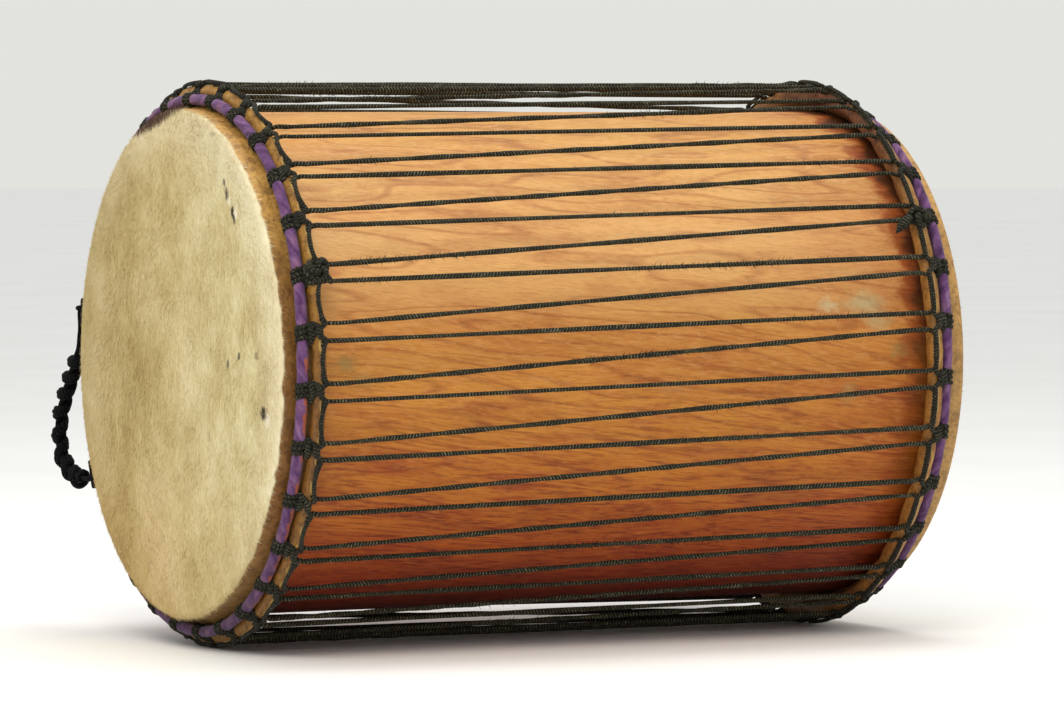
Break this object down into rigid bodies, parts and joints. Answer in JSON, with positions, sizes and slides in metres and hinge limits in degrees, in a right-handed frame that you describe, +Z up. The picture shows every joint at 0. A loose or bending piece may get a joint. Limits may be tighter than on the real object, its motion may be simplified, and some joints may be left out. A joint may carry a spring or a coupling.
{
  "type": "double-headed rope-tuned drum",
  "caption": "Large cylindrical wooden drum lying on its side, with a hide head roped to each end and a cord handle on one ring.",
  "frame": {"origin": "on the ground, under the middle of the drum's bounding box, carrying handle included", "axes": "+X along the drum's axis from the front head to the rear head; +Z up; +Y towards the side with the carrying handle"},
  "size_m": [0.659, 0.5542, 0.4925],
  "materials": {
    "shell_wood": "oiled hardwood, grain along the drum, satin",
    "front_hide": "dried cowhide with short pale hair left on the playing face",
    "rear_hide": "dried cowhide with short hair left on the playing face",
    "ring_steel": "bent and welded mild steel rod, bare",
    "ring_cloth": "strip of purple cotton wound slantwise",
    "rope": "5 mm dark olive braided cord",
    "handle_cord": "black cord worked in half hitches"
  },
  "bodies": {
    "drum": {"shell": "shell_wood", "front_head": "front_hide", "rear_head": "rear_hide", "front_flesh_ring": "ring_steel", "rear_flesh_ring": "ring_steel", "front_crown_ring": "ring_steel", "rear_crown_ring": "ring_steel", "front_ring_wrap": "ring_cloth", "rear_ring_wrap": "ring_cloth", "front_cradle_rope": "rope", "rear_cradle_rope": "rope", "tension_rope": "rope", "upper_handle_lashing": "handle_cord", "lower_handle_lashing": "handle_cord"},
    "handle": {"carry_handle": "handle_cord"}
  },
  "joints": [
    {"name": "handle_swing", "type": "hinge", "parent": "drum", "child": "handle", "pos_m": [-0.3145, 0.19327, 0.13484], "axis": [0, 0.1461, 0.9893], "range_deg": [-50, 90]}
  ]
}
